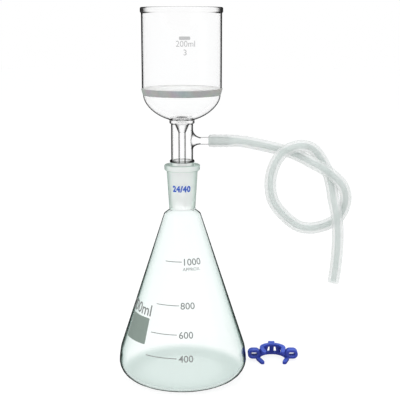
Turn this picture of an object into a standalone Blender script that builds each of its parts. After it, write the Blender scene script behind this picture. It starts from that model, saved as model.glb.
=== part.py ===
"""Vacuum filtration set: a fritted glass funnel standing in a ground-joint conical flask.

The funnel has a wide bowl over a sintered disc, a domed underside, a drip tube inside a vacuum
jacket, a ridged side arm and a ground cone. A length of milky tubing is pushed on the side arm
and ends in a loose overhand knot, and a snap-on joint clip lies on the table beside the flask.

Units are metres, +Z is up, and the origin is the middle of the flask's flat bottom. Sections that
a glassblower fuses are separate solids that meet with a seam GAP.
"""
import math

import bmesh
import bpy
from mathutils import Matrix, Vector

# ---- driving dimensions (metres) -------------------------------------------------------------
GAP = 0.0003                 # seam between pieces that touch
GLASS_WALL = 0.0021          # wall of the flask

# flask, 1000 ml conical
FLASK_CORNER_R = 0.0680      # where the side would meet the table, outside its heel radius
FLASK_HEEL_FILLET = 0.0165
FLASK_HIP_R = 0.0642         # where the cone bends into the heel
FLASK_HIP_Z = 0.0298
FLASK_HIP_FILLET = 0.030
SHOULDER_R = 0.0184          # top of the cone, just under the neck
SHOULDER_Z = 0.1701
NECK_SEAM_Z = 0.1750         # clear glass ends, ground socket starts
NECK_R = 0.01315

# 24/40 ground joint: 24 mm wide mouth, 40 mm long, 1 in 10 taper
JOINT_MOUTH_R = 0.0120
JOINT_LENGTH = 0.040
JOINT_SLOPE = 0.05           # change of radius for each unit of length
SOCKET_TOP_Z = 0.2196
COLLAR_R = 0.0180
COLLAR_HEIGHT = 0.0054
SOCKET_SHOULDER_R = 0.0155

# funnel
FLANGE_Z = 0.2223            # underside of the bead above the ground cone
FLANGE_THICK = 0.0018
FLANGE_R = 0.0124
CONE_BORE_R = 0.0083
JACKET_R = 0.0109
JACKET_WALL = 0.0015
RING_Z = 0.2617              # ring seal between jacket, drip tube and dome
RING_TOP_Z = 0.2640
RING_R = 0.0124
DRIP_R = 0.0036
DRIP_BORE_R = 0.0026
DRIP_MOUTH_R = 0.0076
DRIP_THROAT_Z = 0.2515
DRIP_TIP_Z = 0.1740
DRIP_SLANT = math.radians(35)    # of the cut across the tip
EXIT_R = 0.0056              # hole through the ring seal
DISC_BOTTOM_Z = 0.2889
DISC_TOP_Z = 0.2955
DISC_TOP_R = 0.0405
DISC_BOTTOM_R = 0.0386
DOME_R = 0.0380
DOME_DEPTH = 0.0262
DOME_WALL = 0.0019
DOME_POWER = 1.8             # 2 would be an ellipse, less is more conical
DOME_TURN = math.radians(68)     # how far round the curve runs before the flat foot
DOME_FOOT_THICK = 0.0019
BOWL_R = 0.0392
BOWL_BORE_R = 0.0374
RIM_R = 0.0402
RIM_Z = 0.3730
RIM_HEIGHT = 0.0047

# side arm, along +X
ARM_Z = 0.2433
ARM_R = 0.00365
ARM_BORE_R = 0.0021
ARM_HOLE_R = 0.0041           # of the hole through the jacket
ARM_ROOT_R = 0.0092
ARM_ROOT_X = 0.0050
ARM_NECK_X = 0.0185
ARM_TIP_X = 0.0465
RIDGE_R = 0.0038
RIDGE_VALLEY_R = 0.0032
RIDGE_PITCH = 0.0060
RIDGE_COUNT = 3

# tubing
TUBE_R = 0.0058
SLEEVE_START_X = 0.0262
SLEEVE_END_X = 0.0472
SLEEVE_R = 0.0063
SLEEVE_BORE_R = 0.0042
TUBE_SPACING = 0.0080
TUBE_ROUTE = (
    (0.0478, 0.0000, 0.2433), (0.0540, 0.0003, 0.2432), (0.0630, 0.0015, 0.2420),
    (0.0740, 0.0040, 0.2395), (0.0870, 0.0063, 0.2364), (0.1010, 0.0068, 0.2330),
    (0.1150, 0.0045, 0.2285), (0.1285, -0.0025, 0.2222), (0.1405, -0.0063, 0.2160),
    (0.1510, -0.0068, 0.2085), (0.1600, -0.0045, 0.1985), (0.1643, 0.0000, 0.1870),
    (0.1638, 0.0050, 0.1750), (0.1590, 0.0068, 0.1645), (0.1505, 0.0068, 0.1582),
    (0.1395, 0.0050, 0.1545), (0.1275, 0.0025, 0.1537), (0.1150, 0.0000, 0.1576),
    (0.1015, -0.0025, 0.1690), (0.0912, -0.0045, 0.1830), (0.0878, -0.0060, 0.2000),
    (0.0900, -0.0068, 0.2160), (0.0965, -0.0070, 0.2290), (0.1065, -0.0068, 0.2365),
    (0.1185, -0.0043, 0.2388), (0.1302, 0.0030, 0.2348), (0.1395, 0.0065, 0.2240),
    (0.1463, 0.0068, 0.2110), (0.1500, 0.0040, 0.1980), (0.1516, -0.0025, 0.1850),
    (0.1543, -0.0062, 0.1710), (0.1560, -0.0068, 0.1570), (0.1567, -0.0060, 0.1420),
    (0.1563, -0.0050, 0.1260), (0.1553, -0.0040, 0.1110), (0.1540, -0.0030, 0.0985),
)

# joint clip, lying on the table with its mouth towards -Y
CLIP_X = 0.0965
CLIP_Y = 0.0350
PLATE_THICK = 0.0030
UPPER_PLATE_Z = 0.0105       # underside of the upper plate
UPPER_OUTER_R = 0.0140
UPPER_INNER_R = 0.0095
UPPER_REACH = 0.0120         # how far the prongs run from the middle of the ring
UPPER_TIP_X = 0.0098
LOWER_OUTER_R = 0.0180
LOWER_INNER_R = 0.0135
LOWER_REACH = 0.0135
LOWER_TIP_X = 0.0118
PRONG_TIP_R = 0.00225
POST_ANGLES = (30, 60, 90, 120, 150)
POST_RADIUS = 0.0024
TAB_WIDTH = 0.0069
TAB_REACH = 0.0205
EAR_INNER_X = 0.0135
EAR_OUTER_X = 0.0270
EAR_HEIGHT = 0.0100
EAR_LOW_Z = 0.0022
EAR_MIDDLE_Y = -0.0010
EAR_DEPTH = 0.0085
EAR_WALL = 0.0031

ROUND_STEPS = 36
STEM_STEPS = 24
SMALL_STEPS = 16


# ---- collections and materials ---------------------------------------------------------------
def clear_scene():
    for obj in list(bpy.data.objects):
        bpy.data.objects.remove(obj, do_unlink=True)


def new_collection(name):
    collection = bpy.data.collections.new(name)
    bpy.context.scene.collection.children.link(collection)
    return collection


def make_material(name, color, roughness, transmission=0.0):
    material = bpy.data.materials.new(name)
    material.use_nodes = True
    shader = material.node_tree.nodes["Principled BSDF"]
    shader.inputs["Base Color"].default_value = (*color, 1.0)
    shader.inputs["Roughness"].default_value = roughness
    shader.inputs["Metallic"].default_value = 0.0
    shader.inputs["Transmission Weight"].default_value = transmission
    material.diffuse_color = (*color, 1.0)
    return material


def clear_glass(name):
    return make_material(name, (0.86, 0.93, 0.91), 0.03, 1.0)


# ---- shape helpers ---------------------------------------------------------------------------
def rounded_path(corners, steps=3):
    """Points along (radius, height, fillet) corners, with an arc at each corner with a fillet."""
    points = []
    for index, (radius, height, fillet) in enumerate(corners):
        here = Vector((radius, height))
        if fillet == 0 or index in (0, len(corners) - 1):
            points.append(here)
            continue
        back = (Vector(corners[index - 1][:2]) - here).normalized()
        ahead = (Vector(corners[index + 1][:2]) - here).normalized()
        half_angle = back.angle(ahead) / 2
        centre = here + (back + ahead).normalized() * fillet / math.sin(half_angle)
        first = here + back * fillet / math.tan(half_angle) - centre
        last = here + ahead * fillet / math.tan(half_angle) - centre
        turn = first.angle_signed(last)
        for step in range(steps + 1):
            points.append(centre + Matrix.Rotation(-turn * step / steps, 2) @ first)
    return points


def add_object(name, mesh, collection, material=None):
    obj = bpy.data.objects.new(name, mesh)
    collection.objects.link(obj)
    if material is not None:
        mesh.materials.append(material)
    return obj


def lathe(name, outline, collection, material=None, steps=ROUND_STEPS, closed=True):
    """Turn an outline of (radius, height) points about the object's own Z axis."""
    count = len(outline)
    edges = [(i, i + 1) for i in range(count - 1)]
    if closed:
        edges.append((count - 1, 0))
    mesh = bpy.data.meshes.new(name)
    mesh.from_pydata([(point[0], 0, point[1]) for point in outline], edges, [])
    obj = add_object(name, mesh, collection, material)
    screw = obj.modifiers.new("Turn", "SCREW")
    screw.axis = "Z"
    screw.angle = 2 * math.pi
    screw.steps = steps
    screw.render_steps = steps
    screw.use_merge_vertices = True
    screw.merge_threshold = 0.00001
    return obj


def cylinder(name, radius, depth, collection, steps=SMALL_STEPS):
    """A closed upright cylinder, centred on its own origin."""
    shape = bmesh.new()
    bmesh.ops.create_cone(shape, cap_ends=True, segments=steps, radius1=radius,
                          radius2=radius, depth=depth)
    mesh = bpy.data.meshes.new(name)
    shape.to_mesh(mesh)
    shape.free()
    return add_object(name, mesh, collection)


def box(name, low, high, collection):
    """A closed box between two corners."""
    shape = bmesh.new()
    bmesh.ops.create_cube(shape, size=1.0)
    low, high = Vector(low), Vector(high)
    bmesh.ops.scale(shape, verts=shape.verts, vec=high - low)
    bmesh.ops.translate(shape, verts=shape.verts, vec=(low + high) / 2)
    mesh = bpy.data.meshes.new(name)
    shape.to_mesh(mesh)
    shape.free()
    return add_object(name, mesh, collection)


def hide_as_cutter(obj):
    obj.hide_render = True
    obj.display_type = "WIRE"


def boolean(target, tool, operation):
    modifier = target.modifiers.new(operation.title() + " " + tool.name, "BOOLEAN")
    modifier.operation = operation
    modifier.object = tool
    modifier.solver = "EXACT"
    hide_as_cutter(tool)


def flat_outline(name, points, thickness, collection):
    """A flat closed outline in XY, extruded up from z = 0, as a welded mesh."""
    curve = bpy.data.curves.new(name, "CURVE")
    curve.dimensions = "2D"
    curve.fill_mode = "BOTH"
    curve.extrude = thickness / 2
    spline = curve.splines.new("POLY")
    spline.points.add(len(points) - 1)
    for point, (x, y) in zip(spline.points, points):
        point.co = (x, y, 0, 1)
    spline.use_cyclic_u = True
    source = bpy.data.objects.new(name, curve)
    collection.objects.link(source)
    source.location = (0, 0, thickness / 2)
    mesh = curve_to_mesh(source)
    return add_object(name, mesh, collection)


def curve_to_mesh(source):
    """The closed mesh of a curve object, in world space; the curve object is removed."""
    bpy.context.view_layer.update()
    evaluated = source.evaluated_get(bpy.context.evaluated_depsgraph_get())
    mesh = bpy.data.meshes.new_from_object(evaluated)
    mesh.transform(source.matrix_world)
    shape = bmesh.new()
    shape.from_mesh(mesh)
    bmesh.ops.remove_doubles(shape, verts=shape.verts, dist=0.00001)
    bmesh.ops.recalc_face_normals(shape, faces=shape.faces)
    shape.to_mesh(mesh)
    shape.free()
    name = source.name
    bpy.data.objects.remove(source, do_unlink=True)
    mesh.name = name
    return mesh


def shade_round(obj):
    obj.data.shade_smooth()
    obj.data.set_sharp_from_angle(angle=math.radians(40))


def point_along_x(obj, z):
    """Lay a turned piece along +X at a height, its own Z pointing outwards."""
    obj.rotation_euler = (0, math.pi / 2, 0)
    obj.location = (0, 0, z)


# ---- the flask -------------------------------------------------------------------------------
def build_flask_body(collection):
    wall = GLASS_WALL
    neck_bore = JOINT_MOUTH_R - JOINT_LENGTH * JOINT_SLOPE + GAP
    inside = rounded_path((
        (0, wall, 0),
        (FLASK_CORNER_R - wall, wall, FLASK_HEEL_FILLET - wall),
        (FLASK_HIP_R - wall, FLASK_HIP_Z, FLASK_HIP_FILLET - wall),
        (SHOULDER_R - wall, SHOULDER_Z - 0.0004, 0.003),
        (neck_bore, NECK_SEAM_Z - 0.0012, 0.001),
        (neck_bore, NECK_SEAM_Z, 0),
    ))
    outside = rounded_path((
        (NECK_R, NECK_SEAM_Z, 0),
        (NECK_R, NECK_SEAM_Z - 0.0010, 0.0008),
        (SHOULDER_R, SHOULDER_Z, 0.0030),
        (FLASK_HIP_R, FLASK_HIP_Z, FLASK_HIP_FILLET),
        (FLASK_CORNER_R, 0, FLASK_HEEL_FILLET),
        (0, 0, 0),
    ))
    material = clear_glass("flask_glass")
    flask = lathe("flask_body", inside + outside, collection, material, closed=False)
    shade_round(flask)
    return flask


def build_flask_socket(collection):
    """The ground outer joint, with its collar at the mouth."""
    bottom = NECK_SEAM_Z + GAP
    bore_end = SOCKET_TOP_Z - JOINT_LENGTH
    bore_r = JOINT_MOUTH_R - JOINT_LENGTH * JOINT_SLOPE
    collar_z = SOCKET_TOP_Z - COLLAR_HEIGHT
    outline = rounded_path((
        (JOINT_MOUTH_R + 0.0005, SOCKET_TOP_Z, 0),
        (COLLAR_R, SOCKET_TOP_Z, 0.0012),
        (COLLAR_R - 0.0003, collar_z, 0.0009),
        (SOCKET_SHOULDER_R, collar_z - 0.0004, 0.0005),
        (NECK_R, bottom, 0),
        (bore_r, bottom, 0),
        (bore_r, bore_end, 0),
        (JOINT_MOUTH_R, SOCKET_TOP_Z - 0.0005, 0),
    ))
    material = make_material("ground_glass", (0.82, 0.87, 0.85), 0.55, 0.6)
    socket = lathe("flask_socket", outline, collection, material)
    shade_round(socket)
    return socket


# ---- the funnel ------------------------------------------------------------------------------
def build_bowl(collection):
    bottom = DISC_TOP_Z + GAP
    outline = rounded_path((
        (BOWL_BORE_R + 0.0006, RIM_Z, 0),
        (RIM_R, RIM_Z, 0.0010),
        (RIM_R, RIM_Z - RIM_HEIGHT, 0.0012),
        (BOWL_R, RIM_Z - RIM_HEIGHT - 0.0006, 0.0005),
        (BOWL_R, bottom, 0),
        (BOWL_BORE_R, bottom, 0),
        (BOWL_BORE_R, RIM_Z - 0.0015, 0.0010),
    ))
    bowl = lathe("funnel_bowl", outline, collection, clear_glass("bowl_glass"))
    shade_round(bowl)
    return bowl


def build_disc(collection):
    outline = rounded_path((
        (0, DISC_TOP_Z, 0),
        (DISC_TOP_R, DISC_TOP_Z, 0.0005),
        (DISC_BOTTOM_R, DISC_BOTTOM_Z, 0.0005),
        (0, DISC_BOTTOM_Z, 0),
    ), steps=2)
    material = make_material("sintered_glass", (0.68, 0.69, 0.67), 0.85)
    disc = lathe("fritted_disc", outline, collection, material, closed=False)
    shade_round(disc)
    return disc


def dome_curve(radius, depth, count=9):
    """Points down one side of the dome, from its mouth to near its middle."""
    top = DISC_BOTTOM_Z - GAP
    points = []
    for step in range(count):
        angle = DOME_TURN * step / (count - 1)
        reach = math.cos(angle) ** (2 / DOME_POWER)
        drop = math.sin(angle) ** (2 / DOME_POWER)
        points.append(Vector((radius * reach, top - depth * drop)))
    return points


def build_dome(collection):
    bottom = RING_TOP_Z + GAP
    outside = dome_curve(DOME_R, DOME_DEPTH)
    inside = dome_curve(DOME_R - DOME_WALL, DOME_DEPTH - DOME_WALL)
    outside = [point for point in outside if point.y > bottom + 0.0004]
    inside = [point for point in reversed(inside) if point.y > bottom + DOME_FOOT_THICK + GAP]
    foot = rounded_path((
        (RING_R, bottom, 0),
        (EXIT_R, bottom, 0),
        (EXIT_R, bottom + DOME_FOOT_THICK, 0),
    ))
    material = clear_glass("dome_glass")
    dome = lathe("funnel_dome", outside + foot + inside, collection, material)
    shade_round(dome)
    return dome


def build_jacket(collection, cutters):
    """The wide stem, closed on top by the ring seal, with a hole for the side arm."""
    bottom = FLANGE_Z + FLANGE_THICK + GAP
    bore = JACKET_R - JACKET_WALL
    outline = rounded_path((
        (EXIT_R, RING_TOP_Z, 0),
        (RING_R, RING_TOP_Z, 0),
        (RING_R, RING_Z - 0.0008, 0.0010),
        (JACKET_R, RING_Z - 0.0014, 0.0006),
        (JACKET_R, bottom, 0),
        (bore, bottom, 0),
        (bore, RING_Z, 0.0008),
        (EXIT_R, RING_Z, 0),
    ))
    material = clear_glass("jacket_glass")
    jacket = lathe("vacuum_jacket", outline, collection, material, steps=STEM_STEPS)
    hole = cylinder("arm_hole", ARM_HOLE_R, JACKET_R * 2, cutters)
    hole.rotation_euler = (0, math.pi / 2, 0)
    hole.location = (JACKET_R, 0, ARM_Z)
    boolean(jacket, hole, "DIFFERENCE")
    shade_round(jacket)
    return jacket


def build_drip_tube(collection, cutters):
    """The inner stem: a small funnel mouth on a narrow tube with a slanted tip."""
    top = RING_Z - GAP
    wall = DRIP_R - DRIP_BORE_R
    outline = rounded_path((
        (DRIP_MOUTH_R, top, 0),
        (DRIP_MOUTH_R, top - 0.0006, 0.0004),
        (DRIP_R, DRIP_THROAT_Z, 0.0020),
        (DRIP_R, DRIP_TIP_Z, 0),
        (DRIP_BORE_R, DRIP_TIP_Z, 0),
        (DRIP_BORE_R, DRIP_THROAT_Z, 0.0025),
        (DRIP_MOUTH_R - wall, top - 0.0008, 0.0004),
        (DRIP_MOUTH_R - wall, top, 0),
    ), steps=2)
    material = clear_glass("drip_glass")
    drip = lathe("drip_tube", outline, collection, material, steps=SMALL_STEPS)
    slant = box("tip_slant", (-0.010, -0.010, -0.010), (0.010, 0.010, 0.0), cutters)
    slant.rotation_euler = (0, DRIP_SLANT, 0)
    slant.location = (0, 0, DRIP_TIP_Z + DRIP_R)
    boolean(drip, slant, "DIFFERENCE")
    shade_round(drip)
    return drip


def build_ground_cone(collection):
    """The ground inner joint, with the bead that stays above the socket."""
    tip = SOCKET_TOP_Z - JOINT_LENGTH + 0.0004
    top = FLANGE_Z + FLANGE_THICK

    def ground_radius(z):
        return JOINT_MOUTH_R - GAP + (z - SOCKET_TOP_Z) * JOINT_SLOPE

    outline = rounded_path((
        (JACKET_R - JACKET_WALL, top, 0),
        (FLANGE_R, top, 0.0008),
        (FLANGE_R, FLANGE_Z, 0.0008),
        (ground_radius(FLANGE_Z - 0.0002), FLANGE_Z - 0.0002, 0),
        (ground_radius(tip), tip, 0.0004),
        (CONE_BORE_R, tip, 0),
    ))
    material = make_material("ground_cone_glass", (0.82, 0.87, 0.85), 0.5, 0.6)
    cone = lathe("ground_cone", outline, collection, material, steps=STEM_STEPS)
    shade_round(cone)
    return cone


def ridge_corners():
    """The ridges that grip the tubing, from the arm's tip inwards, as (radius, x, fillet)."""
    corners = []
    for ridge in range(RIDGE_COUNT):
        peak = ARM_TIP_X - 0.0025 - ridge * RIDGE_PITCH
        corners.append((RIDGE_R, peak, 0.0008))
        corners.append((RIDGE_VALLEY_R, peak - RIDGE_PITCH * 0.6, 0.0008))
    return corners


def build_side_arm(collection, cutters):
    outline = rounded_path((
        (ARM_BORE_R, ARM_TIP_X, 0),
        (RIDGE_VALLEY_R - 0.0003, ARM_TIP_X, 0.0004),
        *ridge_corners(),
        (ARM_R, SLEEVE_START_X, 0.0006),
        (ARM_R, ARM_NECK_X, 0.0060),
        (ARM_ROOT_R, JACKET_R + 0.0010, 0.0030),
        (ARM_ROOT_R, ARM_ROOT_X, 0),
        (ARM_BORE_R + 0.0030, ARM_ROOT_X, 0),
        (ARM_BORE_R, ARM_NECK_X - 0.0020, 0.0020),
    ), steps=2)
    material = clear_glass("side_arm_glass")
    arm = lathe("side_arm", outline, collection, material, steps=SMALL_STEPS)
    point_along_x(arm, ARM_Z)
    saddle = cylinder("jacket_saddle", JACKET_R + GAP, 0.030, cutters, steps=STEM_STEPS)
    saddle.location = (0, 0, ARM_Z)
    boolean(arm, saddle, "DIFFERENCE")
    shade_round(arm)
    return arm


# ---- the tubing ------------------------------------------------------------------------------
def smooth_route(route, spacing):
    """Points at an even spacing along a smooth curve through a route's points."""
    knots = [Vector(point) for point in route]
    knots = [knots[0] * 2 - knots[1]] + knots + [knots[-1] * 2 - knots[-2]]
    fine = []
    for before, start, end, after in zip(knots, knots[1:], knots[2:], knots[3:]):
        for step in range(20):
            t = step / 20
            bend = (before * 2 - start * 5 + end * 4 - after) * t * t
            twist = (start * 3 - before - end * 3 + after) * t * t * t
            fine.append((start * 2 + (end - before) * t + bend + twist) / 2)
    fine.append(knots[-2])
    length = sum((b - a).length for a, b in zip(fine, fine[1:]))
    count = round(length / spacing)
    even = [fine[0]]
    travelled = 0.0
    for a, b in zip(fine, fine[1:]):
        travelled += (b - a).length
        if travelled >= len(even) * length / count - 1e-9 and len(even) < count:
            even.append(b)
    return even + [fine[-1]]


def build_tubing_sleeve(collection):
    """The end of the tubing that is stretched over the side arm's ridges."""
    outline = rounded_path((
        (SLEEVE_R, SLEEVE_END_X, 0.0),
        (SLEEVE_R, SLEEVE_START_X, 0.0),
        (SLEEVE_BORE_R, SLEEVE_START_X, 0.0),
        (SLEEVE_BORE_R, SLEEVE_END_X, 0.0),
    ))
    material = make_material("milky_tubing_end", (0.80, 0.83, 0.82), 0.4)
    sleeve = lathe("tubing_sleeve", outline, collection, material, steps=SMALL_STEPS)
    point_along_x(sleeve, ARM_Z)
    shade_round(sleeve)
    return sleeve


def build_tubing(collection):
    curve = bpy.data.curves.new("vacuum_tubing", "CURVE")
    curve.dimensions = "3D"
    curve.bevel_depth = TUBE_R
    curve.bevel_resolution = 3
    curve.use_fill_caps = True
    points = smooth_route(TUBE_ROUTE, TUBE_SPACING)
    spline = curve.splines.new("POLY")
    spline.points.add(len(points) - 1)
    for point, place in zip(spline.points, points):
        point.co = (*place, 1)
    curve.materials.append(make_material("milky_tubing", (0.80, 0.83, 0.82), 0.4))
    tubing = bpy.data.objects.new("vacuum_tubing", curve)
    collection.objects.link(tubing)
    return tubing


# ---- the joint clip --------------------------------------------------------------------------
def arc(radius, start, end, steps, centre=(0, 0)):
    """Points on a circle between two angles in degrees."""
    points = []
    for step in range(steps + 1):
        angle = math.radians(start + (end - start) * step / steps)
        points.append((centre[0] + radius * math.cos(angle), centre[1] + radius * math.sin(angle)))
    return points


def fork_outline(outer, inner, reach, tip_x):
    """A C-shaped plate: a half ring with two prongs that close in, open towards -Y."""
    back = arc(outer, -15, 195, 18)
    left_tip = arc(PRONG_TIP_R, 190, 350, 5, (-tip_x, -reach))
    throat = arc(inner, 205, -25, 16)
    right_tip = arc(PRONG_TIP_R, 190, 350, 5, (tip_x, -reach))
    return back + left_tip + throat + right_tip


def build_fork(name, outer, inner, reach, tip_x, z, cutters):
    outline = fork_outline(outer, inner, reach, tip_x)
    plate = flat_outline(name, outline, PLATE_THICK, cutters)
    plate.location = (0, 0, z)
    return plate


def build_ear(name, side, cutters):
    """A flat loop on one side that ties the two plates together and springs open."""
    middle_x = side * (EAR_INNER_X + EAR_OUTER_X) / 2
    half = (EAR_OUTER_X - EAR_INNER_X) / 2
    ends = EAR_HEIGHT / 2

    def stadium(shrink):
        radius = ends - shrink
        right = arc(radius, -90, 90, 8, (half - ends, 0))
        left = arc(radius, 90, 270, 8, (ends - half, 0))
        return right + left

    loop = flat_outline(name, stadium(0), EAR_DEPTH, cutters)
    slot = flat_outline(name + "_slot", stadium(EAR_WALL), EAR_DEPTH * 3, cutters)
    for piece, depth in ((loop, EAR_DEPTH), (slot, EAR_DEPTH * 3)):
        piece.rotation_euler = (math.pi / 2, 0, 0)
        piece.location = (middle_x, EAR_MIDDLE_Y + depth / 2, EAR_LOW_Z + ends)
    boolean(loop, slot, "DIFFERENCE")
    return loop


def build_post(index, angle, cutters):
    """An upright finger between the plates; it leans out to the wider lower plate."""
    top_r = (UPPER_OUTER_R + UPPER_INNER_R) / 2
    low_r = (LOWER_OUTER_R + LOWER_INNER_R) / 2
    facing = Vector((math.cos(math.radians(angle)), math.sin(math.radians(angle)), 0))
    top = facing * top_r + Vector((0, 0, UPPER_PLATE_Z + PLATE_THICK / 2))
    foot = facing * low_r + Vector((0, 0, PLATE_THICK / 2))
    post = cylinder("clip_post_%d" % index, POST_RADIUS, (top - foot).length, cutters, steps=10)
    post.rotation_euler = (top - foot).to_track_quat("Z", "Y").to_euler()
    post.location = (top + foot) / 2
    return post


def build_clip(collection, cutters):
    """Two forked plates, upright fingers between them, a tab behind and an ear each side."""
    top = UPPER_PLATE_Z + PLATE_THICK
    upper = build_fork("clip_upper", UPPER_OUTER_R, UPPER_INNER_R, UPPER_REACH, UPPER_TIP_X,
                       UPPER_PLATE_Z, cutters)
    lower = build_fork("clip_lower", LOWER_OUTER_R, LOWER_INNER_R, LOWER_REACH, LOWER_TIP_X,
                       0, cutters)
    tab = box("clip_tab", (-TAB_WIDTH / 2, UPPER_INNER_R + 0.001, UPPER_PLATE_Z + 0.0004),
              (TAB_WIDTH / 2, TAB_REACH, top - 0.0004), cutters)
    pieces = [lower, tab]
    for side, word in ((-1, "left"), (1, "right")):
        pieces.append(build_ear("clip_ear_" + word, side, cutters))
    for index, angle in enumerate(POST_ANGLES):
        pieces.append(build_post(index, angle, cutters))
    for piece in pieces:
        boolean(upper, piece, "UNION")
    mesh = curve_to_mesh(upper)
    clip = add_object("joint_clip", mesh, collection,
                      make_material("blue_plastic", (0.09, 0.11, 0.52), 0.35))
    clip.location = (CLIP_X, CLIP_Y, 0)
    shade_round(clip)
    return clip


def build_all():
    clear_scene()
    parts = new_collection("vacuum filtration set")
    cutters = new_collection("cutters")
    build_flask_body(parts)
    build_flask_socket(parts)
    build_bowl(parts)
    build_disc(parts)
    build_dome(parts)
    build_jacket(parts, cutters)
    build_drip_tube(parts, cutters)
    build_ground_cone(parts)
    build_side_arm(parts, cutters)
    build_tubing_sleeve(parts)
    build_tubing(parts)
    build_clip(parts, cutters)


build_all()
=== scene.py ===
import math

import bmesh
import bpy
from mathutils import Matrix, Vector


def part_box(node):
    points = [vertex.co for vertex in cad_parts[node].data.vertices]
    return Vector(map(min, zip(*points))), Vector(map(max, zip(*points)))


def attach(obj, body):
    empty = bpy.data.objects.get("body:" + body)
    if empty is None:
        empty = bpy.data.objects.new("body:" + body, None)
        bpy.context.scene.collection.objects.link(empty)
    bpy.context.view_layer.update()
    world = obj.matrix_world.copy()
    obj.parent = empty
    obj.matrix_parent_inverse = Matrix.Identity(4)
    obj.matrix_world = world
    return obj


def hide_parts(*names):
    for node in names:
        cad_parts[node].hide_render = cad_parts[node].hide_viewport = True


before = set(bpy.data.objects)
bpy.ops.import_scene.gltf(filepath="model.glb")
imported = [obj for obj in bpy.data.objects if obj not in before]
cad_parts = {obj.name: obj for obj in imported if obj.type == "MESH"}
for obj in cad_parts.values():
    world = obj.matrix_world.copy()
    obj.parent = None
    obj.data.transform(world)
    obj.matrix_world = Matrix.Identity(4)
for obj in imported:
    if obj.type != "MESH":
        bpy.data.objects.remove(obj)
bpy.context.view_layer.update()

# A vacuum filtration set on white paper: clear and ground glass, a sintered disc, milky tubing in
# a loose knot, printed marks and a blue joint clip.

# ---- places taken from the frame (metres) ----------------------------------------------------
LOW = {name: Vector(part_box(name)[0]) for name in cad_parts}
HIGH = {name: Vector(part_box(name)[1]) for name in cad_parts}
NECK_Z = HIGH["flask_body"].z
SOCKET_TOP = HIGH["flask_socket"].z
SOCKET_LOW = LOW["flask_socket"].z
COLLAR_R = HIGH["flask_socket"].x
CONE_TIP = LOW["ground_cone"].z
BEAD_TOP = HIGH["ground_cone"].z
BEAD_R = HIGH["ground_cone"].x
JACKET_LOW = LOW["vacuum_jacket"].z
RING_TOP = HIGH["vacuum_jacket"].z
RING_R = HIGH["vacuum_jacket"].x
DRIP_TIP = LOW["drip_tube"].z
DRIP_TOP = HIGH["drip_tube"].z
DRIP_MOUTH_R = HIGH["drip_tube"].x
DOME_LOW = LOW["funnel_dome"].z
DOME_TOP = HIGH["funnel_dome"].z
DOME_R = HIGH["funnel_dome"].x
DISC_LOW = LOW["fritted_disc"].z
DISC_TOP = HIGH["fritted_disc"].z
DISC_R = HIGH["fritted_disc"].x
BOWL_LOW = LOW["funnel_bowl"].z
RIM_Z = HIGH["funnel_bowl"].z
RIM_R = HIGH["funnel_bowl"].x
ARM_TIP_X = HIGH["side_arm"].x
SLEEVE_START = LOW["tubing_sleeve"].x
SLEEVE_END = HIGH["tubing_sleeve"].x
SLEEVE_R = HIGH["tubing_sleeve"].y
ARM_Z = (LOW["tubing_sleeve"].z + HIGH["tubing_sleeve"].z) / 2
CLIP_MIDDLE_X = (LOW["joint_clip"].x + HIGH["joint_clip"].x) / 2
CLIP_TAB_BACK = 0.0205      # from the middle of the clip's ring to the end of its tab
CLIP_MIDDLE_Y = HIGH["joint_clip"].y - CLIP_TAB_BACK

# ---- sizes that the frame doesn't give -------------------------------------------------------
JOIN = 0.0002               # how far a section of glass runs past its CAD solid, over the seam
FLASK_WALL = 0.0021
HIP_R = 0.0642              # where the flask's cone bends into the heel
HIP_Z = 0.0298
HIP_FILLET = 0.030
HEEL_CORNER_R = 0.0680
HEEL_FILLET = 0.0165
SHOULDER_R = 0.0184         # top of the flask's cone
SHOULDER_Z = NECK_Z - 0.0049
CONE_SLOPE = (HIP_R - SHOULDER_R) / (SHOULDER_Z - HIP_Z)
NECK_R = 0.01315
SOCKET_SHOULDER_R = 0.0155
SOCKET_BORE_R = 0.0120
SOCKET_END_R = 0.0100
COLLAR_HEIGHT = 0.0054
JOINT_LENGTH = 0.040
JOINT_SLOPE = 0.05          # change of radius for each unit of length
BEAD_HEIGHT = 0.0018
CONE_BORE_R = 0.0083
JACKET_R = 0.0109
JACKET_BORE_R = 0.0094
EXIT_R = 0.0056             # of the hole from the dome into the drip tube
DRIP_R = 0.0036
DRIP_BORE_R = 0.0026
DRIP_SLANT = math.radians(35)
DOME_DEPTH = 0.0264
DOME_WALL = 0.0019
DOME_POWER = 1.8            # 2 would be an ellipse, less is more conical
DOME_TURN = math.radians(68)
BOWL_R = 0.0392
BOWL_BORE_R = 0.0374
RIM_HEIGHT = 0.0047
ARM_R = 0.00365
ARM_BORE_R = 0.0021
ARM_NECK_X = 0.0185
RIDGE_R = 0.0038
RIDGE_VALLEY_R = 0.0032
RIDGE_PITCH = 0.0060
FIRST_RIDGE_X = ARM_TIP_X - 0.0025
ROOT_WIDE = 0.0070          # how far the arm's root reaches on the jacket: sideways, up and down
ROOT_UP = 0.0112
ROOT_DOWN = 0.0084
CLIP_PLATE = 0.0030
CLIP_PRONG_TIP_R = 0.00225
CLIP_EAR_WALL = 0.0031
CLIP_FINGER_R = 0.0024
PRINT_LIFT = 0.00003        # of a print above the glass
PRINT_THICK = 0.00006
CAPITAL_HEIGHT = 0.73       # of the font, for letters set at size 1
SHARP_ANGLE = 35            # degrees
TUBE_R = 0.0058
TUBE_BORE_R = 0.0027
TUBE_SIDES = 40
START_ROUNDING = (0.0022, 0.0008, 0.0002)    # taken off the outside at the path's first points
END_ROUNDING = 0.0003                        # and at its last one
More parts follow.
